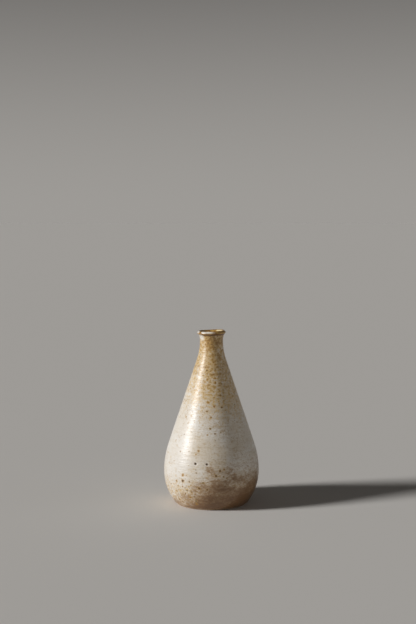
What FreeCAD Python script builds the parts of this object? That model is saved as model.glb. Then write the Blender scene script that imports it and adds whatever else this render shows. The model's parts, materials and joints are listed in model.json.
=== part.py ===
"""Stoneware bud vase: a teardrop bottle with a narrow neck and a small rolled lip.

The vase is thrown in one piece of clay, glazed outside and lined with glaze inside, so it is
three fired solids, each a revolved PartDesign body:

    stoneware_body   the clay wall, lip and trimmed foot
    outer_glaze      the glaze skin outside, over the lip and down to the throat
    liner_glaze      the glaze skin inside, from the throat down, which makes it hold water

Millimetres, +Z up, with the origin on the table at the centre of the foot. Every surface is a
chain of tangent arcs and lines. The clay lies one glaze thickness below the glazed surface, on
arcs with the same centres, so clay and glaze touch all over and nowhere overlap.
"""

import FreeCAD
import Part
import Sketcher

import math
import os
from collections import namedtuple

OUT_DIR = "parts"
SHEET = "Dimensions"
ORIGIN_POINT = (-1, 1)  # Sketcher's numbers for the origin, the two axes and an arc's points
FLAT_AXIS, TURNING_AXIS = -1, -2
START, END, CENTRE = 1, 2, 3

# Alias, value in mm, what it is. Radii and heights are those of the glazed surface.
DIMENSIONS = [
    ("total_height", 150.0, "table to the crest of the lip"),
    ("belly_radius", 41.2, "widest radius"),
    ("belly_height", 28.5, "height of the widest radius"),
    ("lower_belly_arc", 43.3, "profile radius below the belly"),
    ("upper_belly_arc", 74.0, "profile radius above the belly"),
    ("neck_radius", 9.95, "narrowest outside radius"),
    ("neck_height", 142.0, "height of the narrowest outside radius"),
    ("neck_arc", 54.0, "profile radius from the flank into the neck"),
    ("flare_arc", 10.0, "profile radius from the neck out under the lip"),
    ("undercut_arc", 0.3, "profile radius of the crease under the lip"),
    ("lip_radius", 12.3, "outside radius of the lip"),
    ("lip_edge_height", 148.3, "height of the lip's outermost circle"),
    ("lip_edge_arc", 1.15, "rounding of the lip's outer edge"),
    ("crest_radius", 10.65, "radius of the lip's highest circle"),
    ("crest_arc", 0.9, "rounding of the crest"),
    ("throat_radius", 6.8, "radius of the straight throat"),
    ("throat_top", 144.0, "upper end of the straight throat"),
    ("throat_bottom", 136.0, "lower end of the straight throat"),
    ("shoulder_arc", 55.0, "profile radius from the throat into the cavity"),
    ("belly_wall", 4.0, "wall at the belly, both glazes included"),
    ("floor_height", 6.5, "cavity floor above the table"),
    ("floor_corner_arc", 10.0, "profile radius of the cavity's corner"),
    ("glaze_thickness", 0.35, "thickness of each glaze skin"),
    ("glaze_line", 1.4, "height where the outer glaze was wiped off"),
    ("foot_edge_arc", 0.8, "rounding of the foot ring's edges"),
    ("recess_radius", 25.0, "radius of the hollow trimmed under the foot"),
    ("recess_depth", 1.8, "depth of that hollow"),
    ("recess_corner_arc", 0.9, "rounding left by the tool in the hollow's corner"),
]

# How far below the glazed surface a chain is drawn: a sheet formula and its value in mm.
Depth = namedtuple("Depth", "formula mm")
SURFACE = Depth("0", 0.0)


def cell(alias):
    """The sheet cell of that name, as a formula."""
    return f"{SHEET}.{alias}"


def make_sheet(doc):
    """The spreadsheet that every sketch reads, one driving dimension to a row."""
    sheet = doc.addObject("Spreadsheet::Sheet", SHEET)
    for row, (alias, value, meaning) in enumerate(DIMENSIONS, start=1):
        sheet.set(f"A{row}", meaning)
        sheet.set(f"B{row}", str(value))
        sheet.setAlias(f"B{row}", alias)
    doc.recompute()
    return sheet


def polar(centre, radius, degrees):
    """The point at that angle on a circle about centre."""
    angle = math.radians(degrees)
    return centre + FreeCAD.Vector(radius * math.cos(angle), radius * math.sin(angle), 0)


def bearing(start, end):
    """The angle in degrees from one point to another."""
    return math.degrees(math.atan2(end.y - start.y, end.x - start.x))


def touch_angle(first, second, radii, turn):
    """Where a line that touches two circles meets the first one, in degrees.

    radii is the sum of their radii for a line that passes between them, or the first less the
    second for one over both on the same side. turn is 1 or -1, for the two sides.
    """
    return bearing(first, second) + turn * math.degrees(math.acos(radii / first.distanceToPoint(second)))


class Profile:
    """Centres, derived radii and joint angles of the glazed surface's arcs."""

    def __init__(self, sheet):
        size = {alias: float(sheet.get(alias)) for alias, _, _ in DIMENSIONS}
        self.size = size
        self.clay = Depth(cell("glaze_thickness"), size["glaze_thickness"])

        # Outside, from the foot to the neck.
        self.lower_belly = self.point(size["belly_radius"] - size["lower_belly_arc"], size["belly_height"])
        self.upper_belly = self.point(size["belly_radius"] - size["upper_belly_arc"], size["belly_height"])
        self.neck = self.point(size["neck_radius"] + size["neck_arc"], size["neck_height"])
        arcs = size["upper_belly_arc"] + size["neck_arc"]
        self.flank_angle = touch_angle(self.upper_belly, self.neck, arcs, -1)

        # The crease under the lip touches the flare from inside and the lip's edge from outside.
        self.flare = self.point(size["neck_radius"] + size["flare_arc"], size["neck_height"])
        self.lip_edge = self.point(size["lip_radius"] - size["lip_edge_arc"], size["lip_edge_height"])
        edge = size["lip_edge_arc"]
        self.undercut = self.third_corner(
            self.flare, self.lip_edge, size["flare_arc"] - size["undercut_arc"], edge + size["undercut_arc"]
        )
        self.flare_angle = bearing(self.flare, self.undercut)
        self.undercut_angle = bearing(self.undercut, self.lip_edge)

        # The mouth starts upright at the throat and runs smoothly into the crest.
        self.crest = self.point(size["crest_radius"], size["total_height"] - size["crest_arc"])
        self.bevel_angle = touch_angle(self.crest, self.lip_edge, size["crest_arc"] - edge, 1)
        across = size["crest_radius"] - size["throat_radius"]
        rise = self.crest.y - size["throat_top"]
        self.mouth_arc = (across**2 + rise**2 - size["crest_arc"] ** 2) / (2 * (across - size["crest_arc"]))
        self.mouth = self.point(size["throat_radius"] + self.mouth_arc, size["throat_top"])
        self.mouth_angle = bearing(self.mouth, self.crest)

        # The cavity's belly follows the outside at the thickness of the belly's wall.
        self.shoulder = self.point(size["throat_radius"] + size["shoulder_arc"], size["throat_bottom"])
        self.cavity_upper_arc = size["upper_belly_arc"] - size["belly_wall"]
        self.cavity_lower_arc = size["lower_belly_arc"] - size["belly_wall"]
        arcs = self.cavity_upper_arc + size["shoulder_arc"]
        self.cavity_angle = touch_angle(self.upper_belly, self.shoulder, arcs, -1)
        self.corner = self.centre_inside_belly(
            self.cavity_lower_arc - size["floor_corner_arc"],
            size["floor_height"] + size["floor_corner_arc"],
        )
        self.corner_angle = bearing(self.lower_belly, self.corner)

        # The foot ring's outer edge touches the clay of the lower belly from inside.
        self.foot_edge = self.centre_inside_belly(
            size["lower_belly_arc"] - self.clay.mm - size["foot_edge_arc"], size["foot_edge_arc"]
        )
        self.foot_angle = bearing(self.lower_belly, self.foot_edge)

    @staticmethod
    def point(x, y):
        return FreeCAD.Vector(x, y, 0)

    @staticmethod
    def third_corner(first, second, from_first, from_second):
        """The point at those distances from two others, to the left of the way between them."""
        span = first.distanceToPoint(second)
        turn = math.acos((from_first**2 + span**2 - from_second**2) / (2 * from_first * span))
        return polar(first, from_first, bearing(first, second) + math.degrees(turn))

    def centre_inside_belly(self, reach, height):
        """The point at that height and that far from the centre of the lower belly's arc."""
        drop = self.lower_belly.y - height
        return self.point(self.lower_belly.x + math.sqrt(reach**2 - drop**2), height)

    def lower_belly_angle(self, height, depth):
        """The angle on the lower belly's arc at that height above the table."""
        radius = self.size["lower_belly_arc"] - depth.mm
        return math.degrees(math.asin((height - self.lower_belly.y) / radius))


class Section:
    """A closed sketch on a body's XZ plane, drawn as chains of arcs and lines."""

    def __init__(self, body, profile):
        plane = next(f for f in body.Origin.OriginFeatures if f.Role == "XZ_Plane")
        self.sketch = body.newObject("Sketcher::SketchObject", body.Name + "_section")
        self.sketch.AttachmentSupport = [(plane, "")]
        self.sketch.MapMode = "FlatFace"
        self.profile = profile
        self.size = profile.size
        self.first = None  # (geometry, point) where the present chain began
        self.last = None  # (geometry, point) where it has got to

    def tie(self, kind, *args):
        """Adds a constraint that has no size."""
        self.sketch.addConstraint(Sketcher.Constraint(kind, *args))

    def bind(self, kind, *args, formula):
        """Adds a constraint whose size comes from the sheet."""
        index = self.sketch.addConstraint(Sketcher.Constraint(kind, *args))
        self.sketch.setExpression(f"Constraints[{index}]", formula)

    def radius(self, geometry, formula):
        self.bind("Radius", geometry, self.sketch.Geometry[geometry].Radius, formula=formula)

    def place_x(self, geometry, point, formula):
        """Sets a point's distance from the turning axis."""
        now = self.sketch.getPoint(geometry, point).x
        self.bind("DistanceX", *ORIGIN_POINT, geometry, point, now, formula=formula)

    def place_y(self, geometry, point, formula):
        """Sets a point's height above the table."""
        now = self.sketch.getPoint(geometry, point).y
        self.bind("DistanceY", *ORIGIN_POINT, geometry, point, now, formula=formula)

    def add(self, shape, begins, ends, smooth):
        """Adds a piece and joins it to the chain's end, tangent to it if smooth."""
        geometry = self.sketch.addGeometry(shape, False)
        if self.last is None:
            self.first = (geometry, begins)
        else:
            self.tie("Tangent" if smooth else "Coincident", *self.last, geometry, begins)
        self.last = (geometry, ends)
        return geometry

    def arc(self, centre, radius, from_degrees, to_degrees):
        """An arc that carries the chain on smoothly, clockwise if to_degrees is the smaller."""
        circle = Part.Circle(centre, FreeCAD.Vector(0, 0, 1), radius)
        low, high = sorted((math.radians(from_degrees), math.radians(to_degrees)))
        begins, ends = (START, END) if to_degrees > from_degrees else (END, START)
        return self.add(Part.ArcOfCircle(circle, low, high), begins, ends, smooth=True)

    def line(self, start, end, smooth=False):
        """A line that carries the chain on."""
        return self.add(Part.LineSegment(start, end), START, END, smooth)

    def new_chain(self):
        """Ends the present chain and gives back its two ends."""
        ends = (self.first, self.last)
        self.first = self.last = None
        return ends

    def bridge(self, one, other):
        """A straight line between two chains' ends."""
        start, end = (self.sketch.getPoint(*place) for place in (one, other))
        geometry = self.sketch.addGeometry(Part.LineSegment(start, end), False)
        self.tie("Coincident", *one, geometry, START)
        self.tie("Coincident", *other, geometry, END)

    def close(self):
        """Ties the present chain's end to its beginning."""
        self.tie("Coincident", *self.last, *self.first)


def draw_outside(section, start_angle, depth):
    """The outside from the foot up over the lip to the throat. Gives its first arc."""
    profile, size = section.profile, section.size

    belly = section.arc(profile.lower_belly, size["lower_belly_arc"] - depth.mm, start_angle, 0)
    section.radius(belly, f"{cell('lower_belly_arc')} - {depth.formula}")
    section.place_x(belly, END, f"{cell('belly_radius')} - {depth.formula}")
    section.place_y(belly, END, cell("belly_height"))
    section.place_y(belly, CENTRE, cell("belly_height"))
    upper_arc = size["upper_belly_arc"] - depth.mm
    upper = section.arc(profile.upper_belly, upper_arc, 0, profile.flank_angle)
    section.radius(upper, f"{cell('upper_belly_arc')} - {depth.formula}")

    neck_arc = size["neck_arc"] + depth.mm
    neck_angle = profile.flank_angle + 180
    section.line(
        polar(profile.upper_belly, upper_arc, profile.flank_angle),
        polar(profile.neck, neck_arc, neck_angle),
        smooth=True,
    )
    neck = section.arc(profile.neck, neck_arc, neck_angle, 180)
    section.radius(neck, f"{cell('neck_arc')} + {depth.formula}")
    section.place_x(neck, START, f"{cell('neck_radius')} - {depth.formula}")
    section.place_y(neck, START, cell("neck_height"))
    section.place_y(neck, CENTRE, cell("neck_height"))
    flare = section.arc(profile.flare, size["flare_arc"] + depth.mm, 180, profile.flare_angle)
    section.radius(flare, f"{cell('flare_arc')} + {depth.formula}")
    undercut_arc = size["undercut_arc"] + depth.mm
    undercut = section.arc(profile.undercut, undercut_arc, profile.flare_angle, profile.undercut_angle)
    section.radius(undercut, f"{cell('undercut_arc')} + {depth.formula}")

    edge_arc = size["lip_edge_arc"] - depth.mm
    edge_start = profile.undercut_angle - 180
    edge = section.arc(profile.lip_edge, edge_arc, edge_start, profile.bevel_angle)
    section.radius(edge, f"{cell('lip_edge_arc')} - {depth.formula}")
    section.place_x(edge, CENTRE, f"{cell('lip_radius')} - {cell('lip_edge_arc')}")
    section.place_y(edge, CENTRE, cell("lip_edge_height"))
    crest_arc = size["crest_arc"] - depth.mm
    section.line(
        polar(profile.lip_edge, edge_arc, profile.bevel_angle),
        polar(profile.crest, crest_arc, profile.bevel_angle),
        smooth=True,
    )
    crest = section.arc(profile.crest, crest_arc, profile.bevel_angle, profile.mouth_angle)
    section.radius(crest, f"{cell('crest_arc')} - {depth.formula}")
    section.place_x(crest, CENTRE, cell("crest_radius"))
    section.place_y(crest, CENTRE, f"{cell('total_height')} - {cell('crest_arc')}")
    mouth = section.arc(profile.mouth, profile.mouth_arc - depth.mm, profile.mouth_angle, 180)
    section.place_x(mouth, END, f"{cell('throat_radius')} + {depth.formula}")
    section.place_y(mouth, END, cell("throat_top"))
    section.place_y(mouth, CENTRE, cell("throat_top"))
    return belly


def draw_inside(section, depth):
    """The cavity from the throat down to the axis at its floor. Gives the throat's line."""
    profile, size = section.profile, section.size
    throat_x = size["throat_radius"] + depth.mm

    throat = section.line(
        profile.point(throat_x, size["throat_top"]), profile.point(throat_x, size["throat_bottom"])
    )
    section.tie("Vertical", throat)
    shoulder_arc = size["shoulder_arc"] - depth.mm
    shoulder_end = profile.cavity_angle + 180
    shoulder = section.arc(profile.shoulder, shoulder_arc, 180, shoulder_end)
    section.radius(shoulder, f"{cell('shoulder_arc')} - {depth.formula}")
    section.place_y(shoulder, CENTRE, cell("throat_bottom"))

    upper_arc = profile.cavity_upper_arc + depth.mm
    section.line(
        polar(profile.shoulder, shoulder_arc, shoulder_end),
        polar(profile.upper_belly, upper_arc, profile.cavity_angle),
        smooth=True,
    )
    upper = section.arc(profile.upper_belly, upper_arc, profile.cavity_angle, 0)
    section.radius(upper, f"{cell('upper_belly_arc')} - {cell('belly_wall')} + {depth.formula}")
    section.place_x(upper, START, f"{cell('belly_radius')} - {cell('belly_wall')} + {depth.formula}")
    section.place_y(upper, START, cell("belly_height"))
    section.place_y(upper, CENTRE, cell("belly_height"))
    lower_arc = profile.cavity_lower_arc + depth.mm
    lower = section.arc(profile.lower_belly, lower_arc, 0, profile.corner_angle)
    section.radius(lower, f"{cell('lower_belly_arc')} - {cell('belly_wall')} + {depth.formula}")

    corner = section.arc(profile.corner, size["floor_corner_arc"] + depth.mm, profile.corner_angle, -90)
    section.radius(corner, f"{cell('floor_corner_arc')} + {depth.formula}")
    floor_y = size["floor_height"] - depth.mm
    floor = section.line(
        profile.point(profile.corner.x, floor_y), profile.point(0, floor_y), smooth=True
    )
    section.tie("Horizontal", floor)
    section.tie("PointOnObject", floor, END, TURNING_AXIS)
    section.place_y(floor, END, f"{cell('floor_height')} - {depth.formula}")
    return throat


def draw_foot(section):
    """The foot from the axis out: the trimmed hollow, then the ring the vase stands on."""
    profile, size = section.profile, section.size
    edge_arc, corner_arc = size["foot_edge_arc"], size["recess_corner_arc"]
    corner = profile.point(size["recess_radius"] - corner_arc, size["recess_depth"] - corner_arc)
    inner_edge = profile.point(size["recess_radius"] + edge_arc, edge_arc)

    ceiling = section.line(profile.point(0, size["recess_depth"]), polar(corner, corner_arc, 90))
    section.tie("Horizontal", ceiling)
    section.place_y(ceiling, END, cell("recess_depth"))
    hollow = section.arc(corner, corner_arc, 90, 0)
    section.radius(hollow, cell("recess_corner_arc"))
    section.place_x(hollow, START, cell("recess_radius"))
    wall = section.line(polar(corner, corner_arc, 0), polar(inner_edge, edge_arc, 180), smooth=True)
    section.tie("Vertical", wall)
    inner = section.arc(inner_edge, edge_arc, 180, 270)
    section.radius(inner, cell("foot_edge_arc"))

    land = section.line(
        polar(inner_edge, edge_arc, 270), polar(profile.foot_edge, edge_arc, 270), smooth=True
    )
    section.tie("Horizontal", land)
    section.tie("PointOnObject", land, START, FLAT_AXIS)
    outer = section.arc(profile.foot_edge, edge_arc, -90, profile.foot_angle)
    section.radius(outer, cell("foot_edge_arc"))


def make_body(doc, name):
    body = doc.addObject("PartDesign::Body", name)
    body.Label = name
    return body


def revolve(body, section):
    """Turns the finished section once round the vase's axis."""
    turned = body.newObject("PartDesign::Revolution", body.Name + "_turned")
    turned.Profile = section.sketch
    turned.ReferenceAxis = (section.sketch, ["V_Axis"])
    turned.Angle = 360.0


def make_stoneware_body(doc, profile):
    """The thrown and trimmed clay, from the foot ring up over the lip and down the cavity."""
    body = make_body(doc, "stoneware_body")
    section = Section(body, profile)
    draw_foot(section)
    draw_outside(section, profile.foot_angle, profile.clay)
    draw_inside(section, profile.clay)
    axis = section.line(
        profile.point(0, profile.size["floor_height"] - profile.clay.mm),
        profile.point(0, profile.size["recess_depth"]),
    )
    section.close()
    section.tie("Vertical", axis)
    revolve(body, section)
    return body


def make_outer_glaze(doc, profile):
    """The skin from the glaze line just above the foot, over the lip, to the throat's top."""
    body = make_body(doc, "outer_glaze")
    section = Section(body, profile)
    chains = []
    for depth in (SURFACE, profile.clay):
        start_angle = profile.lower_belly_angle(profile.size["glaze_line"], depth)
        belly = draw_outside(section, start_angle, depth)
        section.place_y(belly, START, cell("glaze_line"))
        chains.append(section.new_chain())
    for ends in zip(*chains):
        section.bridge(*ends)
    revolve(body, section)
    return body


def make_liner_glaze(doc, profile):
    """The skin from the throat's top down over the cavity's wall and floor."""
    body = make_body(doc, "liner_glaze")
    section = Section(body, profile)
    chains = []
    for depth in (SURFACE, profile.clay):
        throat = draw_inside(section, depth)
        section.place_x(throat, START, f"{cell('throat_radius')} + {depth.formula}")
        section.place_y(throat, START, cell("throat_top"))
        chains.append(section.new_chain())
    for ends in zip(*chains):
        section.bridge(*ends)
    revolve(body, section)
    return body


def check_document(doc):
    """Stops the build if any object failed to recompute."""
    for item in doc.Objects:
        faults = {"Invalid", "Error"} & set(item.State)
        if faults:
            raise RuntimeError(f"{item.Label}: {', '.join(sorted(faults))}")


def export(body):
    """Checks one sub-part's solid and writes its STEP file."""
    shape = body.Shape
    if shape.isNull() or not shape.isValid() or len(shape.Solids) != 1:
        raise RuntimeError(f"{body.Label} isn't one valid solid")
    shape.exportStep(os.path.join(OUT_DIR, body.Label + ".step"))
    print(f"{body.Label}: {shape.Volume / 1000:.2f} cm3")


def main():
    os.makedirs(OUT_DIR, exist_ok=True)
    doc = FreeCAD.newDocument("bud_vase")
    profile = Profile(make_sheet(doc))
    bodies = [make(doc, profile) for make in (make_stoneware_body, make_outer_glaze, make_liner_glaze)]
    doc.recompute()
    check_document(doc)
    for body in bodies:
        export(body)


main()
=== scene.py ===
"""The looks of the stoneware bud vase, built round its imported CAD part.

Three pieces stand for the three CAD solids: the clay, the glaze outside and the glaze inside.
Each is turned from the vase's own profile of tangent arcs, then given what the kiln and the
potter's hands leave: throwing lines, a slightly uneven lip, a rolled edge where the glaze stops.
Lengths are in millimetres, and times MM they are Blender's metres. A profile's points are complex
numbers: distance from the axis + height * 1j.
"""

import cmath
import json
import math
from bisect import bisect_right

import bpy
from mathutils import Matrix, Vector, noise


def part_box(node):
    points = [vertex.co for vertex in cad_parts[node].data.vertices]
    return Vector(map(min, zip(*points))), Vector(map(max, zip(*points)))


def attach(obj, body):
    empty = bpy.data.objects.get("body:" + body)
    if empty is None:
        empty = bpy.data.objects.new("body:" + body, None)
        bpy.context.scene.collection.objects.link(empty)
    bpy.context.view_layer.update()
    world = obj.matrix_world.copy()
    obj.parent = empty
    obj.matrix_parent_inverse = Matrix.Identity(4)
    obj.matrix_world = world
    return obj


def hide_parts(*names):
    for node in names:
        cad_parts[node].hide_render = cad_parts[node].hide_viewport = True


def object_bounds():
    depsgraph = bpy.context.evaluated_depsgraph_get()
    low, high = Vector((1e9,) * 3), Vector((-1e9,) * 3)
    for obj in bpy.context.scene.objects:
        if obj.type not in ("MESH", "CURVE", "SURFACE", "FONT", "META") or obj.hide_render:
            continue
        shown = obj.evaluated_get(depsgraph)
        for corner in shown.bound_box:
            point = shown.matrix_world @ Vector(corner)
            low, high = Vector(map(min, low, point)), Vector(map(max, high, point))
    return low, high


MM = 0.001
BAKE_LAYER = "OFBake"

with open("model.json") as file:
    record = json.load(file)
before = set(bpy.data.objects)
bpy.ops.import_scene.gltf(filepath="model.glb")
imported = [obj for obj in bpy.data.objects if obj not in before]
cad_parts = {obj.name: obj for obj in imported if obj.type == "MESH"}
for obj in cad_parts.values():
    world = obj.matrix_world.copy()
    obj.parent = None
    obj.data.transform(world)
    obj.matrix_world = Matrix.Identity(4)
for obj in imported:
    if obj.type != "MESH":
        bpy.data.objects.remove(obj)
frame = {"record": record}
cad_low, cad_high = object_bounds()
_, clay_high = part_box("stoneware_body")
glaze_low, glaze_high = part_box("outer_glaze")
liner_low, liner_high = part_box("liner_glaze")
throat = next(mount for mount in frame["record"]["mounts"] if mount["name"] == "throat")

# ---- Sizes, worked out from the frame ----
TOTAL_HEIGHT = cad_high.z / MM
BELLY_RADIUS = cad_high.x / MM
GLAZE = (glaze_high.x - clay_high.x) / MM
GLAZE_LINE = glaze_low.z / MM
BELLY_WALL = BELLY_RADIUS + GLAZE - liner_high.x / MM
FLOOR_HEIGHT = liner_low.z / MM + GLAZE
THROAT_RADIUS = throat["dims"]["r_mm"]
THROAT_TOP = liner_high.z / MM
THROAT_BOTTOM = THROAT_TOP - throat["dims"]["length_mm"]

# ---- The curves between them, as in the CAD source ----
BELLY_HEIGHT = 28.5
LOWER_BELLY_ARC, UPPER_BELLY_ARC = 43.3, 74.0
NECK_RADIUS, NECK_HEIGHT, NECK_ARC = 9.95, 142.0, 54.0
FLARE_ARC, UNDERCUT_ARC = 10.0, 0.3
LIP_RADIUS, LIP_EDGE_HEIGHT, LIP_EDGE_ARC = 12.3, 148.3, 1.15
CREST_RADIUS, CREST_ARC = 10.65, 0.9
SHOULDER_ARC = 55.0
FLOOR_CORNER_ARC = 10.0
FOOT_EDGE_ARC = 0.8
RECESS_RADIUS, RECESS_DEPTH, RECESS_CORNER_ARC = 25.0, 1.8, 0.9

# ---- Meshes ----
ARC_STEP = 0.06  # spacing of the points that an outline keeps
COLUMNS = 256  # round the clay and the glaze outside
LINER_COLUMNS = 128
GLAZE_BITE = 0.06  # how far a glaze's hidden back reaches into the clay, so that no gap shows
SHOWN_SHARE = 0.95  # how much of the bake's height goes to a glaze's shown side
FINE_ROWS, FINE_BACK_ROWS = 146.4, 140  # the heights above which a glaze's two sides have finer rows

# ---- The potter's hand ----
OUT_OF_ROUND = 0.0022  # a share of the radius
WALL_WANDER, FULL_WANDER_RADIUS = 0.10, 10.0  # nearer the axis than this, the wall wanders less
LIP_RISE = (143.0, 148.5)  # the heights between which the lip's tilt comes in
LIP_TILT, LIP_TILT_DEGREES, LIP_WAVE = 0.38, 70, 0.14  # the lip is highest at those degrees
RIDGE_DEPTH, RIDGE_PITCH = 0.020, 5.2
LINE_DEPTH, SKIN_DEPTH = 0.056, 0.014
LINER_RIDGE_DEPTH, LINER_RIDGE_PITCH = 0.16, 7.0
TRIMMING_DEPTH, TRIMMING_PITCH = 0.07, 2.3
EDGE_ROLL, EDGE_FADE = 0.55, 4.0  # how far from the glaze's wiped edge it is rounded, and uneven
BEAD_HEIGHT, BEAD_PLACE, BEAD_WIDTH = 0.10, 0.9, 0.55  # the thicker glaze along that edge

# ---- Marks on the glaze: degrees from the front towards the vase's left, height and radius ----
# Each pinhole lies on a column of the mesh, so that the dent round it comes out round.
COLUMN = 360 / COLUMNS
PINHOLES = [(-14 * COLUMN, 41.5, 0.85), (-4 * COLUMN, 41.5, 0.80)]
PINHOLE_DEPTH, PINHOLE_SLOPE = 0.25, 1.2
SPECKS = {
    "orange": [
        (-36, 31, 1.0), (-28, 12, 0.8), (-21, 6, 0.8), (-7, 91, 0.7),
        (-11, 110, 0.8), (10, 107, 0.8), (-22, 137, 0.8), (-25, 113, 0.5),
        (10, 111, 0.8), (9, 135, 0.8), (8, 124, 0.8),
    ],
    "umber": [
        (-36, 26, 1.1), (-25, 17, 0.5), (-34, 15, 0.5), (-15, 21, 0.9),
        (-5, 20, 0.8), (5, 32, 0.9), (10, 36, 0.8), (14, 31, 0.6),
        (20, 87, 0.7), (-8, 84, 0.6), (5, 66, 0.6), (-15, 117, 0.7),
        (20, 97, 0.7),
    ],
    "ochre": [
        (-46, 25, 0.7), (-31, 31, 0.4), (-37, 21, 0.6), (-44, 21, 0.5),
        (-25, 23, 0.6), (-49, 8, 0.9), (-17, 52, 0.8), (-20, 49, 0.6),
        (-1, 79, 0.7), (-6, 65, 0.6), (15, 37, 0.7),
        (-16, 140, 1.0), (1, 139, 0.9), (-49, 78, 0.6), (-48, 16, 0.7),
    ],
    "grey": [
        (-27, 26, 0.6), (-31, 18, 0.7), (-21, 9, 0.9), (-30, 51, 0.5),
        (-18, 34, 0.5),
    ],
    "red": [(5, 88, 0.6)],
    "olive": [(-2, 70, 0.8), (-10, 26, 0.6), (14, 67, 0.5)],
}
WARP = 1.2  # how far the marks' outlines are pushed out of round
# Marks scattered at random: the spacing, the radius and, for specks, the strength.
FRECKLES = ((1.3, 0.60), (2.0, 0.80), (3.4, 1.10))
SCATTERED_SPECKS = ((6.5, 1.00, 0.80), (3.3, 0.80, 0.65))

# ---- Changes in the glaze: where each begins and where it is complete ----
# Heights above the table.
OCHRE_CLIMB, DEEP_OCHRE_CLIMB, FOOT_OCHRE_FALL = (60, 106), (122, 146), (40, 10)
NECK_FRECKLES, FOOT_FRECKLES = (52, 110), (14, 40)
FEWER_SPECKS, MORE_SPECKS = (12, 42), (75, 125)
LIP_COLOURS = (LIP_EDGE_HEIGHT - 1.5, LIP_EDGE_HEIGHT - 0.7)
LINER_POOL = (70, 130)
# Distances sideways, towards the vase's left.
# Painted light and shade: these ramps run from the vase's right, which faces the key light, towards the
# front; the glaze is painted paler on the lit side and warmer and browner away from it.
AWAY_FROM_KEY_LIGHT, OCHRE_HIGHLIGHT_FADE, TOAST_SHADE_SIDE = (-30, -6), (-16, 0), (-34, 4)
LIT_SIDE_OCHRE_DELAY = 10  # how much higher the ochre begins on the vase's right, painted paler where the key light falls
TOAST_HEIGHT, TOAST_SHADE_REACH = 22, 28  # how high the toasted foot reaches, and how much higher, at most, its painted shade reaches away from the key light

# ---- Rings round the neck: height and strength ----
BANDS = ((120.0, 0.50), (114.3, 0.40))
BAND_FADE = (1.5, 0.1)  # from this far away to this near

# ---- Glaze at the lip, with painted shade and painted highlights: distance from the axis and height, and the degrees that its pools and painted highlights lie at ----
SHADED_CREASE, INNER_EDGE = (11.3, 147.1), (10.2, TOTAL_HEIGHT)
FRONT_LIP_HIGHLIGHT, FRONT_LIP_HIGHLIGHT_DEGREES = (11.75, 148.95), range(-44, 20, 4)
LIT_LIP_END, LIT_LIP_END_DEGREES = (11.8, 148.9), range(-92, -66, 5)
LIT_INNER_WALL, LIT_INNER_WALL_DEGREES = (9.4, 149.2), range(104, 152, 6)
FADING_LIP_HIGHLIGHT = (-12, 20)  # the degrees over which the painted highlights in front fade out

# ---- Colours: linear red, green and blue ----
SPECK_COLOURS = {
    "orange": (0.34, 0.165, 0.022),
    "umber": (0.100, 0.045, 0.016),
    "ochre": (0.32, 0.18, 0.065),
    "grey": (0.17, 0.14, 0.105),
    "red": (0.21, 0.06, 0.03),
    "olive": (0.14, 0.105, 0.035),
}
SPECK_HALO = (0.60, 0.37, 0.11)
CREAM, WARM_CREAM, OATMEAL = (0.785, 0.745, 0.685), (0.71, 0.63, 0.52), (0.53, 0.415, 0.265)
GOLD, PALE_GOLD, OCHRE = (0.58, 0.35, 0.10), (0.72, 0.52, 0.235), (0.44, 0.26, 0.07)
# The rust ring also stands as painted shade in the crease under the lip.
AMBER, RUST_AND_SHADE = (0.31, 0.152, 0.035), (0.17, 0.075, 0.03)
# The toast's darkest brown is partly the foot's own colour and partly painted shade.
TAN, TOAST_AND_SHADE = (0.42, 0.262, 0.13), (0.20, 0.10, 0.042)
# The pale pools are partly pooled glaze and partly painted highlights on the lip; the golden one is
# painted light on the inner wall of the mouth.
PALE_POOL_AND_HIGHLIGHT, LIT_INNER_GOLD = (0.88, 0.85, 0.78), (0.88, 0.72, 0.43)
# The pinholes' hearts are painted shade.
PIT_HALO, PIT_RIM, PINHOLE_SHADE = (0.82, 0.78, 0.71), (0.27, 0.15, 0.06), (0.014, 0.009, 0.005)
# The liner's brown is partly the glaze's own and partly darkened as painted shade inside the mouth.
LINER_BROWN_AND_SHADE, LINER_GOLD = (0.24, 0.125, 0.05), (0.56, 0.37, 0.17)
LINER_GREY, LINER_CREAM = (0.52, 0.45, 0.35), (0.70, 0.64, 0.54)
DARK_CLAY, BUFF_CLAY = (0.36, 0.23, 0.14), (0.52, 0.375, 0.255)
SAND, GROG = (0.62, 0.50, 0.38), (0.10, 0.055, 0.03)

# ---- Camera: about 1 m away and higher than the lip, looking slightly down ----
CAMERA_PLACE = (-3.0, -990.0, 246.3)
CAMERA_PITCH = 4.64
SENSOR, LENS = 36.0, 66.58
NEAR_CLIP, FAR_CLIP = 10.0, 200000.0

# ---- Studio: degrees from the front towards the vase's left, and degrees up ----
KEY = {"degrees": -73.5, "up": 24.9, "strength": 3.1, "softness": 12.0}
FILL = {"degrees": 82.0, "up": 22.0, "strength": 0.12, "softness": 40.0}
FLOOR_COLOUR = (0.70, 0.675, 0.64)
FLOOR_REACH = 60000.0
HORIZON_COLOUR = (0.339, 0.325, 0.307)
SKY_COLOUR = (0.045, 0.043, 0.041)
SKY_FADE = 0.36  # the sine of the angle above the horizon where the sky is all its own colour


# ---------------------------------------------------------------- profile


def touch_angle(first, second, radii, turn):
    """Where a line that touches two circles meets the first one.

    radii is the sum of their radii for a line that passes between them, or the first less the
    second for one over both on the same side. turn is 1 or -1, for the two sides.
    """
    apart = second - first
    return cmath.phase(apart) + turn * math.acos(radii / abs(apart))


def third_corner(first, second, from_first, from_second):
    """The point at those distances from two others, to the left of the way between them."""
    apart = second - first
    span = abs(apart)
    turn = math.acos((from_first**2 + span**2 - from_second**2) / (2 * from_first * span))
    return first + cmath.rect(from_first, cmath.phase(apart) + turn)


def centre_inside_belly(reach, height):
    """The point at that height and that far from the centre of the lower belly's arc."""
    drop = LOWER_BELLY.imag - height
    return complex(LOWER_BELLY.real + math.sqrt(reach**2 - drop**2), height)


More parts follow.
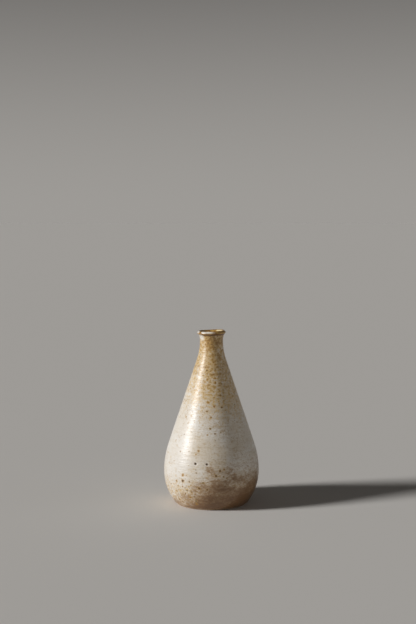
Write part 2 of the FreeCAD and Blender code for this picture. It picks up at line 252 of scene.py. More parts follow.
LOWER_BELLY = complex(BELLY_RADIUS - LOWER_BELLY_ARC, BELLY_HEIGHT)
UPPER_BELLY = complex(BELLY_RADIUS - UPPER_BELLY_ARC, BELLY_HEIGHT)
NECK = complex(NECK_RADIUS + NECK_ARC, NECK_HEIGHT)
FLANK_ANGLE = touch_angle(UPPER_BELLY, NECK, UPPER_BELLY_ARC + NECK_ARC, -1)
LIP_EDGE = complex(LIP_RADIUS - LIP_EDGE_ARC, LIP_EDGE_HEIGHT)
FLARE = complex(NECK_RADIUS + FLARE_ARC, NECK_HEIGHT)
UNDERCUT = third_corner(FLARE, LIP_EDGE, FLARE_ARC - UNDERCUT_ARC, LIP_EDGE_ARC + UNDERCUT_ARC)
FLARE_ANGLE = cmath.phase(UNDERCUT - FLARE)
UNDERCUT_ANGLE = cmath.phase(LIP_EDGE - UNDERCUT)
CREST = complex(CREST_RADIUS, TOTAL_HEIGHT - CREST_ARC)
BEVEL_ANGLE = touch_angle(CREST, LIP_EDGE, CREST_ARC - LIP_EDGE_ARC, 1)
TO_CREST = CREST - complex(THROAT_RADIUS, THROAT_TOP)
MOUTH_ARC = (abs(TO_CREST) ** 2 - CREST_ARC**2) / (2 * (TO_CREST.real - CREST_ARC))
MOUTH = complex(THROAT_RADIUS + MOUTH_ARC, THROAT_TOP)
MOUTH_ANGLE = cmath.phase(CREST - MOUTH)
SHOULDER = complex(THROAT_RADIUS + SHOULDER_ARC, THROAT_BOTTOM)
CAVITY_ANGLE = touch_angle(UPPER_BELLY, SHOULDER, UPPER_BELLY_ARC - BELLY_WALL + SHOULDER_ARC, -1)
CORNER = centre_inside_belly(
    LOWER_BELLY_ARC - BELLY_WALL - FLOOR_CORNER_ARC, FLOOR_HEIGHT + FLOOR_CORNER_ARC
)
CORNER_ANGLE = cmath.phase(CORNER - LOWER_BELLY)
FOOT_EDGE = centre_inside_belly(LOWER_BELLY_ARC - GLAZE - FOOT_EDGE_ARC, FOOT_EDGE_ARC)
FOOT_ANGLE = cmath.phase(FOOT_EDGE - LOWER_BELLY)


def arc(centre, radius, start, end):
    """Points along an arc, in the order it is walked."""
    steps = max(3, math.ceil(abs(end - start) * radius / ARC_STEP))
    return [centre + cmath.rect(radius, start + (end - start) * i / steps) for i in range(steps + 1)]


def outside_points(start_angle, depth):
    """The outside from the foot up over the lip to the throat, that far below the glaze."""
    return (
        arc(LOWER_BELLY, LOWER_BELLY_ARC - depth, start_angle, 0)
        + arc(UPPER_BELLY, UPPER_BELLY_ARC - depth, 0, FLANK_ANGLE)
        + arc(NECK, NECK_ARC + depth, FLANK_ANGLE + math.pi, math.pi)
        + arc(FLARE, FLARE_ARC + depth, math.pi, FLARE_ANGLE)
        + arc(UNDERCUT, UNDERCUT_ARC + depth, FLARE_ANGLE, UNDERCUT_ANGLE)
        + arc(LIP_EDGE, LIP_EDGE_ARC - depth, UNDERCUT_ANGLE - math.pi, BEVEL_ANGLE)
        + arc(CREST, CREST_ARC - depth, BEVEL_ANGLE, MOUTH_ANGLE)
        + arc(MOUTH, MOUTH_ARC - depth, MOUTH_ANGLE, math.pi)
    )


def inside_points(depth):
    """The cavity from the throat down to the axis at its floor, that far below the glaze."""
    return (
        [complex(THROAT_RADIUS + depth, THROAT_TOP)]
        + arc(SHOULDER, SHOULDER_ARC - depth, math.pi, CAVITY_ANGLE + math.pi)
        + arc(UPPER_BELLY, UPPER_BELLY_ARC - BELLY_WALL + depth, CAVITY_ANGLE, 0)
        + arc(LOWER_BELLY, LOWER_BELLY_ARC - BELLY_WALL + depth, 0, CORNER_ANGLE)
        + arc(CORNER, FLOOR_CORNER_ARC + depth, CORNER_ANGLE, -math.pi / 2)
        + [complex(0, FLOOR_HEIGHT - depth)]
    )


def foot_points():
    """The bare foot from the axis out: the trimmed hollow, then the ring that stands."""
    quarter = math.pi / 2
    corner = complex(RECESS_RADIUS - RECESS_CORNER_ARC, RECESS_DEPTH - RECESS_CORNER_ARC)
    inner_edge = complex(RECESS_RADIUS + FOOT_EDGE_ARC, FOOT_EDGE_ARC)
    return (
        [complex(0, RECESS_DEPTH)]
        + arc(corner, RECESS_CORNER_ARC, quarter, 0)
        + arc(inner_edge, FOOT_EDGE_ARC, 2 * quarter, 3 * quarter)
        + arc(FOOT_EDGE, FOOT_EDGE_ARC, -quarter, FOOT_ANGLE)
    )


class Outline:
    """A profile that gives its point and its outward normal at any length along it."""

    def __init__(self, points):
        self.points = [points[0]]
        self.lengths = [0.0]
        for point in points[1:]:
            step = abs(point - self.points[-1])
            if step > 1e-6:
                self.points.append(point)
                self.lengths.append(self.lengths[-1] + step)
        self.total = self.lengths[-1]

    def at(self, length):
        i = min(max(bisect_right(self.lengths, length) - 1, 0), len(self.points) - 2)
        along = self.points[i + 1] - self.points[i]
        share = (length - self.lengths[i]) / abs(along)
        return self.points[i] + along * share, along / abs(along) * -1j

    def spaced(self, step_at):
        """Lengths from one end to the other, each step_at(point) or so after the last."""
        lengths = [0.0]
        while lengths[-1] < self.total:
            lengths.append(lengths[-1] + step_at(self.at(lengths[-1])[0]))
        squeeze = self.total / lengths[-1]
        return [length * squeeze for length in lengths]


# ---------------------------------------------------------------- the potter's hand


def smooth(value, low, high):
    """0 below low, 1 above high and an easy slope between."""
    share = min(max((value - low) / (high - low), 0.0), 1.0)
    return share * share * (3 - 2 * share)


def turned(point, angle):
    """A profile point at an angle round the axis, which grows from the front to the vase's left."""
    return point.real * math.sin(angle), -point.real * math.cos(angle), point.imag


def wander(angle, height, across, up, seed):
    """Smooth noise from -1 to 1 on a cylinder. across and up are the sizes of its waves."""
    around = BELLY_RADIUS * math.cos(angle) / across, BELLY_RADIUS * math.sin(angle) / across
    return noise.noise(Vector((*around, height / up + seed)))


def settled(point, angle):
    """Where a point of the round profile ends up once the soft pot has been handled and fired."""
    radius, height = point.real, point.imag
    standing = smooth(height, 2.0, 25.0)
    radius *= 1 + OUT_OF_ROUND * standing * math.cos(2 * angle + 0.7)
    drift = WALL_WANDER * standing * wander(angle, height, across=40, up=30, seed=3)
    radius += drift * min(1.0, radius / FULL_WANDER_RADIUS)
    tilt = LIP_TILT * math.cos(angle - math.radians(LIP_TILT_DEGREES))
    lift = tilt + LIP_WAVE * math.sin(3 * angle + 1.0)
    return complex(radius, height + smooth(height, *LIP_RISE) * lift)


def throwing_lines(angle, height):
    """The soft ridges that fingers leave outside, and the finer lines of the rib."""
    turns = height / RIDGE_PITCH + angle / (2 * math.pi)
    drift = 1.3 * wander(angle, height, across=50, up=14, seed=9)
    ridges = math.sin(2 * math.pi * turns + drift)
    lines = wander(angle, height, across=17, up=1, seed=21)
    skin = wander(angle, height, across=5, up=4, seed=40)
    return RIDGE_DEPTH * ridges + LINE_DEPTH * lines + SKIN_DEPTH * skin


def pinhole_dents(angle, height):
    """How far the glaze sinks there, round the two open pinholes."""
    dents = 0.0
    for degrees, hole_height, _ in PINHOLES:
        across = BELLY_RADIUS * (angle - math.radians(degrees) % (2 * math.pi))
        away = math.hypot(across, height - hole_height)
        if away < 4 * PINHOLE_SLOPE:
            dents += PINHOLE_DEPTH * math.exp(-((away / PINHOLE_SLOPE) ** 2))
    return dents


def glaze_edge_shift(angle):
    """How far the wiped edge of the glaze wanders up or down the foot."""
    broad = wander(angle, 0.0, across=9, up=1, seed=55)
    narrow = wander(angle, 0.0, across=3, up=1, seed=61)
    return 0.30 * broad + 0.16 * narrow


def clay_relief(angle, height):
    """Grog dragged through the bare clay by the trimming tool."""
    drag = wander(angle, height, across=6, up=0.5, seed=70)
    grain = wander(angle, height, across=1.1, up=0.9, seed=75)
    return -0.05 + 0.03 * drag + 0.03 * grain


# ---------------------------------------------------------------- meshes


def lathe(name, rows, columns, looped):
    """A turned mesh. Each row gives its point for an angle, and its share of the bake's height.

    A row whose point is on the axis becomes one vertex. looped joins the last row to the first.
    """
    vertices, starts = [], []
    for place, _ in rows:
        starts.append(len(vertices))
        on_axis = abs(place(0.0).real) < 1e-6
        for column in range(1 if on_axis else columns):
            angle = 2 * math.pi * column / columns
            vertices.append([length * MM for length in turned(place(angle), angle)])
    ends = starts[1:] + [len(vertices)]
    counts = [end - start for start, end in zip(starts, ends)]

    faces, uvs = [], []
    pairs = [(i, i + 1) for i in range(len(rows) - 1)]
    if looped:
        pairs.append((len(rows) - 1, 0))
    for low, high in pairs:
        low_v = rows[low][1]
        high_v = rows[high][1] if high else 1.0
        for column in range(columns):
            after = column + 1
            left, right = column / columns, after / columns
            corners = [
                (starts[low] + column % counts[low], left, low_v),
                (starts[low] + after % columns % counts[low], right, low_v),
                (starts[high] + after % columns % counts[high], right, high_v),
                (starts[high] + column % counts[high], left, high_v),
            ]
            if counts[low] == 1:
                del corners[1]
            elif counts[high] == 1:
                del corners[2]
            faces.append([corner[0] for corner in corners])
            for _, u, v in corners:
                uvs += (u, v)

    mesh = bpy.data.meshes.new(name)
    mesh.from_pydata(vertices, [], faces)
    mesh.uv_layers.new(name=BAKE_LAYER).data.foreach_set("uv", uvs)
    mesh.shade_smooth()
    mesh.validate()
    piece = bpy.data.objects.new(name, mesh)
    bpy.context.scene.collection.objects.link(piece)
    return piece


def row(outline, length, v, relief=None, shift=None):
    """One row of a lathe: a length along an outline, with relief along its normal."""

    def place(angle):
        moved = length + (shift(angle) if shift else 0.0)
        point, normal = outline.at(moved)
        if relief:
            point += normal * relief(angle, point.imag)
        return settled(point, angle)

    return place, v


def skin_rows(outer, inner, outer_step, inner_step, outer_relief, shift_at):
    """Rows for a closed skin: along its shown side, then back along its hidden one."""
    rows = []
    for length in outer.spaced(outer_step):
        v = SHOWN_SHARE * length / outer.total
        rows.append(row(outer, length, v, outer_relief(length), shift_at(length)))
    for length in reversed(inner.spaced(inner_step)):
        v = SHOWN_SHARE + (1 - SHOWN_SHARE) * (1 - length / inner.total)
        rows.append(row(inner, length, v, None, shift_at(length)))
    return rows


def make_outside_glaze():
    """The glaze outside: throwing lines under it, and a rolled edge where it was wiped off."""

    def from_the_line(depth):
        start = math.asin((GLAZE_LINE - BELLY_HEIGHT) / (LOWER_BELLY_ARC - depth))
        return Outline(outside_points(start, depth))

    def relief(length):
        rounded = 1 - min(1.0, length / EDGE_ROLL)
        sunk = GLAZE * (1 - math.sqrt(1 - rounded**2))
        bead = BEAD_HEIGHT * math.exp(-(((length - BEAD_PLACE) / BEAD_WIDTH) ** 2))
        return lambda angle, height: (
            bead
            - sunk
            - pinhole_dents(angle, height)
            + throwing_lines(angle, height) * smooth(height, 2.0, 6.0)
        )

    def shift_at(length):
        fade = max(0.0, 1 - length / EDGE_FADE)
        return (lambda angle: fade * glaze_edge_shift(angle)) if fade else None

    def outer_step(point):
        if point.imag > FINE_ROWS:
            return 0.20
        return 0.12 + 0.43 * smooth(point.imag, 1.6, 4.0)

    def inner_step(point):
        return 1.0 if point.imag > FINE_BACK_ROWS else 6.0

    outer, inner = from_the_line(0.0), from_the_line(GLAZE + GLAZE_BITE)
    rows = skin_rows(outer, inner, outer_step, inner_step, relief, shift_at)
    return lathe("outside_glaze", rows, COLUMNS, looped=True)


def make_inside_glaze():
    """The glaze inside, over the deeper ridges that a hand leaves in a narrow pot."""
    outer = Outline(inside_points(0.0))
    inner = Outline(inside_points(GLAZE + GLAZE_BITE))

    def relief(length):
        fade = smooth(length, 8.0, 30.0) * smooth(outer.total - length, 0.0, 8.0)
        return lambda angle, height: (
            LINER_RIDGE_DEPTH
            * fade
            * math.sin(2 * math.pi * (length / LINER_RIDGE_PITCH + angle / (2 * math.pi)))
        )

    rows = skin_rows(outer, inner, lambda point: 0.7, lambda point: 5.0, relief, lambda length: None)
    return lathe("inside_glaze", rows, LINER_COLUMNS, looped=True)


def make_clay():
    """The clay, bare at the foot and hidden under the glazes everywhere else."""
    outline = Outline(foot_points() + outside_points(FOOT_ANGLE, GLAZE) + inside_points(GLAZE))
    # The bare clay's relief goes on a little way under the glaze.
    bare = Outline(foot_points()).total + 2.0

    def step_at(point):
        return 0.30 if point.imag < RECESS_DEPTH + 0.5 else 1.6

    def relief_at(length):
        if length > bare:
            return None
        rings = 0.0
        if length < RECESS_RADIUS - 2:
            rings = TRIMMING_DEPTH * math.sin(2 * math.pi * length / TRIMMING_PITCH)
        return lambda angle, height: rings + clay_relief(angle, height + length)

    rows = []
    for length in outline.spaced(step_at):
        rows.append(row(outline, length, length / outline.total, relief_at(length)))
    rows[0] = (lambda angle: complex(0, RECESS_DEPTH), 0.0)
    rows[-1] = (lambda angle: complex(0, FLOOR_HEIGHT - GLAZE), 1.0)
    return lathe("stoneware", rows, COLUMNS, looped=False)


# ---------------------------------------------------------------- materials


class Shader:
    """A material's node tree, with one short call for each kind of node it uses."""

    def __init__(self, name):
        self.material = bpy.data.materials.new(name)
        self.material.use_nodes = True
        self.tree = self.material.node_tree
        self.surface = self.tree.nodes["Principled BSDF"]
        # Places in a material are in millimetres too.
        coordinates = self.tree.nodes.new("ShaderNodeTexCoord")
        self.place = self.vector("MULTIPLY", coordinates.outputs["Object"], (1 / MM,) * 3)
        self.sideways, _, self.height = self.node("ShaderNodeSeparateXYZ", {0: self.place}).outputs

    def feed(self, socket, value):
        if isinstance(value, bpy.types.NodeSocket):
            self.tree.links.new(value, socket)
        elif socket.type == "RGBA":
            socket.default_value = (*value, 1.0)
        else:
            socket.default_value = value

    def node(self, kind, inputs, **settings):
        made = self.tree.nodes.new(kind)
        for key, value in settings.items():
            setattr(made, key, value)
        for key, value in inputs.items():
            self.feed(made.inputs[key], value)
        return made

    def look(self, inputs):
        """Set the surface itself, each input to one value or to a value that varies."""
        for key, value in inputs.items():
            self.feed(self.surface.inputs[key], value)

    def math(self, operation, first, second=0.0, clamp=False):
        made = self.node("ShaderNodeMath", {0: first, 1: second}, operation=operation, use_clamp=clamp)
        return made.outputs[0]

    def times(self, first, second):
        return self.math("MULTIPLY", first, second)

    def plus(self, first, second):
        return self.math("ADD", first, second)

    def swing(self, value, reach):
        """A value that goes from 0 to 1, made to go from minus half the reach to plus half."""
        return self.times(self.plus(value, -0.5), reach)

    def vector(self, operation, first, second):
        made = self.node("ShaderNodeVectorMath", {0: first, 1: second}, operation=operation)
        return made.outputs["Value" if operation in ("DISTANCE", "LENGTH") else "Vector"]

    def ramp(self, value, low, high, to_low=0.0, to_high=1.0):
        """to_low below low, to_high above high and an easy slope between. low may be the larger."""
        inputs = {"Value": value, "From Min": low, "From Max": high, "To Min": to_low, "To Max": to_high}
        made = self.node("ShaderNodeMapRange", inputs, interpolation_type="SMOOTHSTEP")
        return made.outputs["Result"]

    def between(self, share, at_none, at_all):
        """An easy slope from one value where the share is 0 to another where it is 1."""
        return self.ramp(share, 0.0, 1.0, at_none, at_all)

    def noise(self, size, detail=3, roughness=0.6, stretch=(1, 1, 1), offset=0):
        """Noise whose waves are that long, or stretch times as long along X, Y and Z."""
        place = self.vector("MULTIPLY", self.place, [1.0 / (size * times) for times in stretch])
        if offset:
            place = self.vector("ADD", place, (offset,) * 3)
        inputs = {"Vector": place, "Scale": 1.0, "Detail": detail, "Roughness": roughness}
        return self.node("ShaderNodeTexNoise", inputs).outputs

    def mix(self, share, first, second):
        made = self.node("ShaderNodeMix", {0: share, 6: first, 7: second}, data_type="RGBA")
        return made.outputs[2]

    def paint(self, colour, tint, mask, share=1.0):
        """A colour under a tint that is share strong wherever the mask is 1."""
        return self.mix(self.times(mask, share), colour, tint)

    def spot(self, place, centre, radius, edge):
        """1 inside a ball about centre, falling to 0 over a soft edge at its surface."""
        away = self.vector("DISTANCE", place, centre)
        return self.ramp(away, radius + edge / 2, radius - edge / 2)

    def ring(self, from_axis, point, radius, edge):
        """The same as spot, but round the whole vase through one point of its profile."""
        place = self.node("ShaderNodeCombineXYZ", {0: from_axis, 1: self.height}).outputs[0]
        return self.spot(place, (*point, 0.0), radius, edge)

    def scatter(self, place, cell, radius, rarity):
        """Random specks, about one to a cell, and three random numbers for each cell.

        rarity, from 0 to 1, is the share of cells that stay empty. It may vary over the surface.
        """
        hardness = 2.6
        inputs = {"Vector": place, "Scale": 1.0 / cell, "Randomness": 1.0}
        made = self.node("ShaderNodeTexVoronoi", inputs)
        chances = self.node("ShaderNodeSeparateColor", {0: made.outputs["Color"]}).outputs
        reach = self.ramp(chances[0], rarity, 1.0, 0.0, radius / cell)
        inside = self.math("SUBTRACT", reach, made.outputs["Distance"])
        return self.math("MULTIPLY", inside, hardness * cell / radius, clamp=True), chances

    def bump(self, height, strength):
        """The surface's slant under small relief, where a height of 1 is 1 mm."""
        inputs = {"Height": height, "Strength": strength, "Distance": MM}
        return self.node("ShaderNodeBump", inputs).outputs["Normal"]


OUTSIDE = Outline(outside_points(FOOT_ANGLE, 0.0))


def on_ring(degrees, radius, height):
    """The place at that angle, distance from the axis and height."""
    return turned(complex(radius, height), math.radians(degrees))


def on_surface(degrees, height):
    """The place on the outside of the vase at that angle and height."""
    low, high = 0.0, OUTSIDE.total
    while high - low > 0.01:
        middle = (low + high) / 2
        point, normal = OUTSIDE.at(middle)
        if point.imag < height and normal.real > 0:
            low = middle
        else:
            high = middle
    return on_ring(degrees, OUTSIDE.at(low)[0].real, height)


def pools_and_lip_highlights():
    """Where the glaze lies thick at the top, and the painted highlights on the lip: colour, place, reach
    and how well each hides.
    """
    pools = [
        (PALE_POOL_AND_HIGHLIGHT, on_surface(-54.0, 144.6), 2.7, 0.75),
        (PALE_POOL_AND_HIGHLIGHT, on_surface(-76.0, 144.9), 2.0, 0.65),
    ]
    # Painted highlight along the front of the lip, fading out towards the vase's left.
    for degrees in FRONT_LIP_HIGHLIGHT_DEGREES:
        hiding = 0.85 - 0.80 * smooth(degrees, *FADING_LIP_HIGHLIGHT)
        pools.append((PALE_POOL_AND_HIGHLIGHT, on_ring(degrees, *FRONT_LIP_HIGHLIGHT), 0.85, hiding))
    # Painted light on the end of the lip that faces the key light.
    for degrees in LIT_LIP_END_DEGREES:
        pools.append((PALE_POOL_AND_HIGHLIGHT, on_ring(degrees, *LIT_LIP_END), 1.0, 0.80))
    # Painted light on the inner wall of the mouth that faces the key light.
    for degrees in LIT_INNER_WALL_DEGREES:
        pools.append((LIT_INNER_GOLD, on_ring(degrees, *LIT_INNER_WALL), 1.0, 0.85))
    return pools


def glaze_ground(shader, front, clouds, mottle, fine):
    """The cream that covers most of the vase, warmer and browner in faint patches and streaks; as
    painted shade these grow stronger towards the front, away from the key light, which leaves the lit
    side paler as painted light.
    """
    streaks = shader.noise(1.7, stretch=(12, 12, 1), offset=15)[0]
    # Painted shade: the warmth, the mottle and the streaks grow towards the front, away from the key
    # light, and the side facing it is left paler as painted light.
    warmth = shader.times(shader.ramp(clouds, 0.35, 0.68), shader.between(front, 0.55, 1.3))
    colour = shader.mix(warmth, CREAM, WARM_CREAM)
    strength = shader.between(front, 0.22, 0.62)
    colour = shader.paint(colour, OATMEAL, shader.ramp(mottle, 0.50, 0.76), strength)
    colour = shader.paint(colour, OATMEAL, shader.ramp(fine, 0.48, 0.72), strength)
    streaked = shader.between(front, 0.22, 0.48)
    return shader.paint(colour, OATMEAL, shader.ramp(streaks, 0.46, 0.72), streaked)


def add_ochre(shader, colour, rise, clouds, blotches, fine):
    """Golden ochre that shows in patches on the flank and at the foot, and takes over on the neck."""
    climb = shader.plus(
        shader.ramp(rise, *OCHRE_CLIMB, 0.0, 0.66), shader.ramp(rise, *DEEP_OCHRE_CLIMB, 0.0, 0.18)
    )
    # Painted highlight: the ochre is paler on the vase's right, where the key light falls.
    climb = shader.times(climb, shader.ramp(shader.sideways, *OCHRE_HIGHLIGHT_FADE, 0.80, 1.0))
    climb = shader.plus(climb, shader.ramp(shader.height, *FOOT_OCHRE_FALL, 0.0, 0.46))
    drift = shader.times(climb, shader.swing(clouds, 0.6))
    ochre = shader.plus(shader.plus(climb, drift), blotches)
    gold = shader.mix(shader.ramp(fine, 0.36, 0.64), GOLD, PALE_GOLD)
    colour = shader.paint(colour, gold, shader.ramp(ochre, 0.14, 0.92))
    return shader.paint(colour, AMBER, shader.ramp(ochre, 0.64, 1.02), 0.85)


def add_freckles(shader, colour, warped, rise):
    """Small ochre freckles, thick on the neck and at the foot and sparse between them."""
    neck = shader.ramp(rise, *NECK_FRECKLES, 0.96, 0.05)
    foot = shader.ramp(shader.height, *FOOT_FRECKLES, 0.15, 0.96)
    rarity = shader.math("MINIMUM", neck, foot)
    for cell, radius in FRECKLES:
        freckles, _ = shader.scatter(warped, cell, radius, rarity)
        colour = shader.paint(colour, OCHRE, freckles, 0.62)
    return colour


def add_toast(shader, colour, blotches):
    """The foot, toasted brown by the flame, and higher up and darker away from the key light, as painted
    shade.
    """
    # Painted shade: the browning is stronger and reaches higher on the side away from the key light.
    toast_shade_side = shader.ramp(shader.sideways, *TOAST_SHADE_SIDE)
    top = shader.plus(shader.times(toast_shade_side, TOAST_SHADE_REACH), TOAST_HEIGHT)
    strength = shader.plus(shader.times(toast_shade_side, 0.80), 0.54)
    low = shader.math("SUBTRACT", 1.0, shader.math("DIVIDE", shader.height, top), clamp=True)
    smoke = shader.swing(shader.noise(9.0, detail=4, stretch=(1.3, 1.3, 0.7), offset=22)[0], 1.7)
    patches = shader.plus(shader.times(blotches, 0.50), smoke)
    toasted = shader.plus(shader.times(low, strength), patches)
    colour = shader.paint(colour, TAN, shader.ramp(toasted, 0.08, 0.90), 0.88)
    return shader.paint(colour, TOAST_AND_SHADE, shader.ramp(toasted, 0.34, 1.25), 0.90)


def add_bands(shader, colour):
    """Two faint rings where the glaze broke over a ridge on the neck."""
    patchy = shader.noise(1.8, stretch=(1.8, 1.8, 0.6), offset=12)[0]
    for height, share in BANDS:
        near = shader.math("ABSOLUTE", shader.plus(shader.height, -height))
        band = shader.times(shader.ramp(near, *BAND_FADE), shader.ramp(patchy, 0.42, 0.58))
        colour = shader.paint(colour, AMBER, band, share)
    return colour


def add_lip(shader, colour):
    """The lip, where the glaze runs thin and brown on its edges and lies pale in pools, with painted
    shade in the crease under it and painted highlights where the key light falls on it.
    """
    uneven = shader.noise(2.6, offset=16)[0]
    flat = shader.vector("MULTIPLY", shader.place, (1.0, 1.0, 0.0))
    from_axis = shader.vector("LENGTH", flat, (0.0, 0.0, 0.0))
    brown = shader.mix(shader.ramp(uneven, 0.40, 0.60), AMBER, GOLD)
    colour = shader.paint(colour, brown, shader.ramp(shader.height, *LIP_COLOURS))
    # Painted shade: a dark ring in the crease under the lip.
    colour = shader.paint(colour, RUST_AND_SHADE, shader.ring(from_axis, SHADED_CREASE, radius=0.75, edge=0.9), 0.90)
    colour = shader.paint(colour, RUST_AND_SHADE, shader.ring(from_axis, INNER_EDGE, radius=0.55, edge=0.7), 0.60)
    broken = shader.ramp(uneven, 0.24, 0.48)
    # Pale pools of glaze, and painted highlights on the lip's front, its lit end and the inner wall.
    for tint, centre, reach, share in pools_and_lip_highlights():
        lip_patch = shader.spot(shader.place, centre, reach, edge=reach * 1.2)
        colour = shader.paint(colour, tint, shader.times(lip_patch, broken), share)
    return colour


def add_specks(shader, colour, warped):
    """Iron specks that bled through the glaze: the ones listed, then a random scatter."""
    for tint, places in SPECKS.items():
        for degrees, height, radius in places:
            centre = on_surface(degrees, height)
            halo = shader.spot(warped, centre, radius * 1.55, edge=1.1)
            dot = shader.spot(warped, centre, radius * 1.02, edge=0.75)
            colour = shader.paint(colour, SPECK_HALO, halo, 0.60)
            colour = shader.paint(colour, SPECK_COLOURS[tint], dot, 0.86)

    low = shader.ramp(shader.height, *FEWER_SPECKS, 0.05, 0.84)
    high = shader.ramp(shader.height, *MORE_SPECKS, 0.0, 0.50)
    rarity = shader.math("SUBTRACT", low, high)
    for cell, radius, strength in SCATTERED_SPECKS:
        dots, chances = shader.scatter(warped, cell, radius, rarity)
        choice = shader.ramp(chances[1], 0.2, 0.8)
        tint = shader.mix(choice, SPECK_COLOURS["umber"], SPECK_COLOURS["ochre"])
        colour = shader.paint(colour, tint, dots, strength)
    return colour


def add_pinholes(shader, colour, warped):
    """Two open pinholes with a pale ring round each, their hearts painted near-black as painted shade,
    and a mask of how far they go down.
    """
    pits = 0.0
    for degrees, height, radius in PINHOLES:
        centre = on_surface(degrees, height)
        halo = shader.spot(shader.place, centre, radius * 2.4, edge=0.9)
        rim = shader.spot(warped, centre, radius * 1.45, edge=0.6)
        heart = shader.spot(shader.place, centre, radius * 0.86, edge=0.35)
        colour = shader.paint(colour, PIT_HALO, halo, 0.55)
        colour = shader.paint(colour, PIT_RIM, rim, 0.75)
        # Painted shade: the heart of each hole is near-black.
        colour = shader.paint(colour, PINHOLE_SHADE, heart)
        pits = shader.plus(pits, heart)
    return colour, pits


def make_outer_glaze_material():
    """Satin glaze: broken colour, iron specks, two pinholes and the grain of the clay beneath."""
    shader = Shader("satin_glaze")
    wobble = shader.noise(1.6, detail=2, offset=20)[1]
    wobble = shader.vector("SUBTRACT", wobble, (0.5, 0.5, 0.5))
    warped = shader.vector("ADD", shader.place, shader.vector("MULTIPLY", wobble, (WARP,) * 3))

    clouds = shader.noise(26.0, roughness=0.55)[0]
    mottle = shader.noise(2.6, roughness=0.55, stretch=(1, 1, 0.8), offset=4)[0]
    fine = shader.noise(1.2, detail=2, stretch=(1.3, 1.3, 0.8), offset=8)[0]
    blotches = shader.plus(shader.swing(mottle, 1.4), shader.swing(fine, 1.0))
    # Painted light and shade: the glaze is painted plainer and paler on the vase's right, which faces
    # the key light, and its ochre begins higher there; towards the front it is painted warmer and
    # browner.
    front = shader.ramp(shader.sideways, *AWAY_FROM_KEY_LIGHT)
    rise = shader.plus(shader.height, shader.between(front, -LIT_SIDE_OCHRE_DELAY, 0))
    colour = glaze_ground(shader, front, clouds, mottle, fine)
    colour = add_ochre(shader, colour, rise, clouds, blotches, fine)
    colour = add_freckles(shader, colour, warped, rise)
    colour = add_toast(shader, colour, blotches)
    colour = add_bands(shader, colour)
    colour = add_lip(shader, colour)
    colour = add_specks(shader, colour, warped)
    colour, pits = add_pinholes(shader, colour, warped)

    lines = shader.noise(1.5, roughness=0.65, stretch=(14, 14, 1), offset=30)[0]
    peel = shader.noise(1.6, offset=34)[0]
    skin = shader.plus(shader.times(lines, 0.65), shader.times(peel, 0.12))
    skin = shader.math("SUBTRACT", skin, shader.times(pits, 0.35))

    rough = shader.ramp(shader.noise(7.0, offset=38)[0], 0.3, 0.7, 0.34, 0.42)
    glossier = shader.ramp(shader.height, *LIP_COLOURS, 0.0, 0.14)
    rough = shader.math("SUBTRACT", rough, glossier)
    rough = shader.plus(rough, shader.times(pits, 0.4))
    normal = shader.bump(skin, 0.6)
    shader.look({"Base Color": colour, "Normal": normal, "Roughness": rough, "IOR": 1.57})
    return shader.material


def make_liner_material():
    """The liner: the neck's ochre glaze above, its brown darkened as painted shade in the mouth, paler
    and greyer where it pooled in the belly.
    """
    shader = Shader("liner_glaze_finish")
    mottle = shader.noise(2.4, detail=4, offset=3)[0]
    # Painted shade: the brown at the top is darkened as the shade inside the mouth.
    gold = shader.mix(shader.ramp(mottle, 0.35, 0.65), LINER_BROWN_AND_SHADE, LINER_GOLD)
    pale = shader.mix(shader.ramp(mottle, 0.35, 0.7), LINER_GREY, LINER_CREAM)
    colour = shader.mix(shader.ramp(shader.height, *LINER_POOL), pale, gold)
    rough = shader.ramp(mottle, 0.3, 0.7, 0.28, 0.42)
    normal = shader.bump(shader.times(mottle, 0.05), 0.5)
    shader.look({"Base Color": colour, "Normal": normal, "Roughness": rough})
    return shader.material


def make_clay_material():
    """Bare stoneware: toasted buff, with dark grog, pale sand and a dry skin."""
    shader = Shader("bare_stoneware")
    toast = shader.noise(9.0, detail=4, offset=1)[0]
    sand = shader.noise(0.5, detail=2, roughness=0.7, offset=5)[0]
    grog, _ = shader.scatter(shader.place, cell=1.7, radius=0.38, rarity=0.35)
    colour = shader.mix(shader.ramp(toast, 0.3, 0.7), DARK_CLAY, BUFF_CLAY)
    colour = shader.paint(colour, SAND, shader.ramp(sand, 0.5, 0.8), 0.4)
    colour = shader.paint(colour, GROG, grog, 0.75)
    rough = shader.ramp(sand, 0.3, 0.7, 0.82, 0.94)
    normal = shader.bump(shader.plus(shader.times(sand, 0.10), shader.times(grog, 0.05)), 0.8)
    shader.look({"Base Color": colour, "Normal": normal, "Roughness": rough})
    shader.look({"Specular IOR Level": 0.25})
    return shader.material


# ---------------------------------------------------------------- studio


def make_lamp(name, degrees, up, strength, softness):
    """A soft light far off in that direction."""
    lamp = bpy.data.lights.new(name, "SUN")
    lamp.energy = strength
    lamp.angle = math.radians(softness)
    rise = math.radians(up)
    towards = Vector(turned(complex(math.cos(rise), math.sin(rise)), math.radians(degrees)))
    holder = bpy.data.objects.new(name, lamp)
    holder.location = towards
    holder.rotation_euler = towards.to_track_quat("Z", "Y").to_euler()
    bpy.context.scene.collection.objects.link(holder)


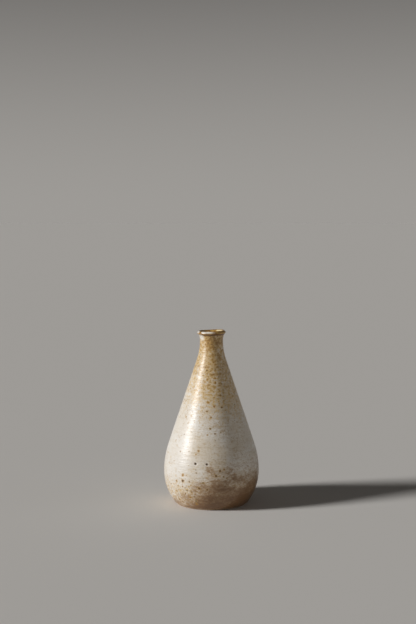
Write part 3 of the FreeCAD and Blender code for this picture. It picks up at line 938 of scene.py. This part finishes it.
def make_floor():
    """A plain pale floor, wide enough to reach the horizon from every view."""
    half = FLOOR_REACH * MM
    corners = [(-half, -half, 0), (half, -half, 0), (half, half, 0), (-half, half, 0)]
    mesh = bpy.data.meshes.new("floor")
    mesh.from_pydata(corners, [], [(0, 1, 2, 3)])
    floor = bpy.data.objects.new("floor", mesh)
    bpy.context.scene.collection.objects.link(floor)
    shader = Shader("pale_floor")
    shader.look({"Base Color": FLOOR_COLOUR, "Roughness": 0.85, "Specular IOR Level": 0.0})
    mesh.materials.append(shader.material)


def make_sky():
    """A plain pale backdrop that fades softly upwards from the floor's own tone."""
    world = bpy.data.worlds.new("studio")
    bpy.context.scene.world = world
    world.use_nodes = True
    tree = world.node_tree
    coordinates = tree.nodes.new("ShaderNodeTexCoord")
    parts = tree.nodes.new("ShaderNodeSeparateXYZ")
    fade = tree.nodes.new("ShaderNodeMapRange")
    fade.interpolation_type = "SMOOTHSTEP"
    fade.inputs["From Max"].default_value = SKY_FADE
    mix = tree.nodes.new("ShaderNodeMix")
    mix.data_type = "RGBA"
    mix.inputs[6].default_value = (*HORIZON_COLOUR, 1.0)
    mix.inputs[7].default_value = (*SKY_COLOUR, 1.0)
    tree.links.new(coordinates.outputs["Generated"], parts.inputs[0])
    tree.links.new(parts.outputs["Z"], fade.inputs["Value"])
    tree.links.new(fade.outputs["Result"], mix.inputs[0])
    tree.links.new(mix.outputs[2], tree.nodes["Background"].inputs["Color"])


def make_camera():
    """The camera, in the place that the picture of the vase was taken from."""
    data = bpy.data.cameras.new("camera")
    data.sensor_width = SENSOR
    data.lens = LENS
    data.clip_start = NEAR_CLIP * MM
    data.clip_end = FAR_CLIP * MM
    camera = bpy.data.objects.new("camera", data)
    camera.location = [length * MM for length in CAMERA_PLACE]
    camera.rotation_euler = (math.radians(90 - CAMERA_PITCH), 0.0, 0.0)
    bpy.context.scene.collection.objects.link(camera)
    bpy.context.scene.camera = camera


# ---------------------------------------------------------------- scene

for piece, material, node, slot in (
    (make_clay(), make_clay_material(), "stoneware_body", "stoneware"),
    (make_outside_glaze(), make_outer_glaze_material(), "outer_glaze", "outer_glaze"),
    (make_inside_glaze(), make_liner_material(), "liner_glaze", "liner_glaze"),
):
    piece.data.materials.append(material)
    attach(piece, "root")
    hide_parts(node)

make_floor()
make_sky()
make_lamp("key", **KEY)
make_lamp("fill", **FILL)
make_camera()
bpy.context.scene.view_settings.view_transform = "Standard"
